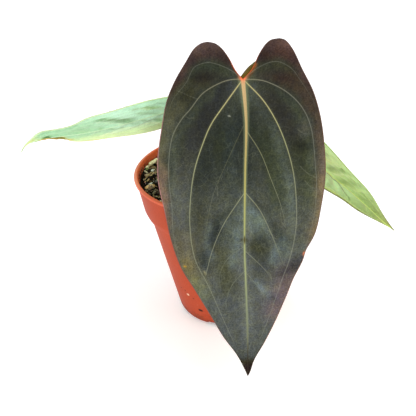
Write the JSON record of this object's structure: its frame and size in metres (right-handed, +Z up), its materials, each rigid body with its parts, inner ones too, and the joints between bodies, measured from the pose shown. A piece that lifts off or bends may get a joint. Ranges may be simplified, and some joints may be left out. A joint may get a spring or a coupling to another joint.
{
  "type": "potted anthurium hybrid",
  "caption": "Velvet-leaved aroid house plant with heart-shaped leaves on arching stalks, standing in a tapered nursery pot filled with chunky growing mix.",
  "frame": {"origin": "centre of the flat underside of the pot's base", "axes": "+Z up the pot's axis; the large front leaf hangs towards -Y; +X is to the right seen from the front"},
  "size_m": [0.223, 0.1451, 0.1715],
  "materials": {
    "pot_plastic": "terracotta-coloured moulded plastic, satin with fine scuffs",
    "growing_mix": "moist peat and coir with bark chips, charcoal and pale grit",
    "crown_bark": "short stem with dry papery scale leaves and pale thick roots",
    "leaf_stalk": "firm smooth olive-green stalk, brownish at the edges",
    "leaf_velvet": "dark velvety upper face with pale sunken veins and a fine pinkish margin",
    "leaf_pale": "pale green underside with raised veins, dark velvety upper face"
  },
  "bodies": {
    "root": {"pot": "pot_plastic", "growing_mix": "growing_mix", "crown": "crown_bark", "stalk_front": "leaf_stalk", "stalk_left": "leaf_stalk", "stalk_right": "leaf_stalk", "leaf_front": "leaf_velvet", "leaf_left": "leaf_pale", "leaf_right": "leaf_pale"}
  },
  "joints": []
}
